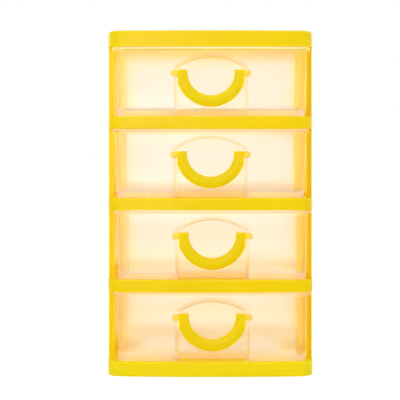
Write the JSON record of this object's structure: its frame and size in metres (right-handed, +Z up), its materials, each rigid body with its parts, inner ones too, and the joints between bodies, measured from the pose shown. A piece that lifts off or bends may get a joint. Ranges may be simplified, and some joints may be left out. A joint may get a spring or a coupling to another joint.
{
  "type": "desktop mini drawers",
  "caption": "Small desktop drawer tower: stacked plastic frames with a top cover, frosted drawers that slide out at the front, and half-ring handles hinged in recesses.",
  "frame": {"origin": "the point on the surface the object stands on, under the middle of its outline", "axes": "+X to the right seen from the front, +Y from the front to the back, +Z up"},
  "size_m": [0.1112, 0.09, 0.1859],
  "materials": {
    "yellow_plastic": "opaque yellow moulded plastic with a soft sheen",
    "frosted_plastic": "frosted, translucent, nearly clear plastic"
  },
  "bodies": {
    "cabinet": {"top_cover": "yellow_plastic", "tier_1": "yellow_plastic", "tier_2": "yellow_plastic", "tier_3": "yellow_plastic", "tier_4": "yellow_plastic"},
    "drawer_1": {"drawer_1": "frosted_plastic"},
    "drawer_2": {"drawer_2": "frosted_plastic"},
    "drawer_3": {"drawer_3": "frosted_plastic"},
    "drawer_4": {"drawer_4": "frosted_plastic"},
    "handle_1": {"handle_1": "yellow_plastic"},
    "handle_2": {"handle_2": "yellow_plastic"},
    "handle_3": {"handle_3": "yellow_plastic"},
    "handle_4": {"handle_4": "yellow_plastic"}
  },
  "joints": [
    {"name": "drawer_1_slide", "type": "slide", "parent": "cabinet", "child": "drawer_1", "axis": [0, -1, 0], "range_m": [0, 0.065]},
    {"name": "drawer_2_slide", "type": "slide", "parent": "cabinet", "child": "drawer_2", "axis": [0, -1, 0], "range_m": [0, 0.065]},
    {"name": "drawer_3_slide", "type": "slide", "parent": "cabinet", "child": "drawer_3", "axis": [0, -1, 0], "range_m": [0, 0.065]},
    {"name": "drawer_4_slide", "type": "slide", "parent": "cabinet", "child": "drawer_4", "axis": [0, -1, 0], "range_m": [0, 0.065]},
    {"name": "handle_1_hinge", "type": "hinge", "parent": "drawer_1", "child": "handle_1", "pos_m": [0.0004, -0.039, 0.163], "axis": [-1, 0, 0], "range_deg": [0, 95]},
    {"name": "handle_2_hinge", "type": "hinge", "parent": "drawer_2", "child": "handle_2", "pos_m": [0.0001, -0.039, 0.119], "axis": [-1, 0, 0], "range_deg": [0, 95]},
    {"name": "handle_3_hinge", "type": "hinge", "parent": "drawer_3", "child": "handle_3", "pos_m": [0.0011, -0.039, 0.075], "axis": [-1, 0, 0], "range_deg": [0, 95]},
    {"name": "handle_4_hinge", "type": "hinge", "parent": "drawer_4", "child": "handle_4", "pos_m": [0.0011, -0.039, 0.031], "axis": [-1, 0, 0], "range_deg": [0, 95]}
  ]
}
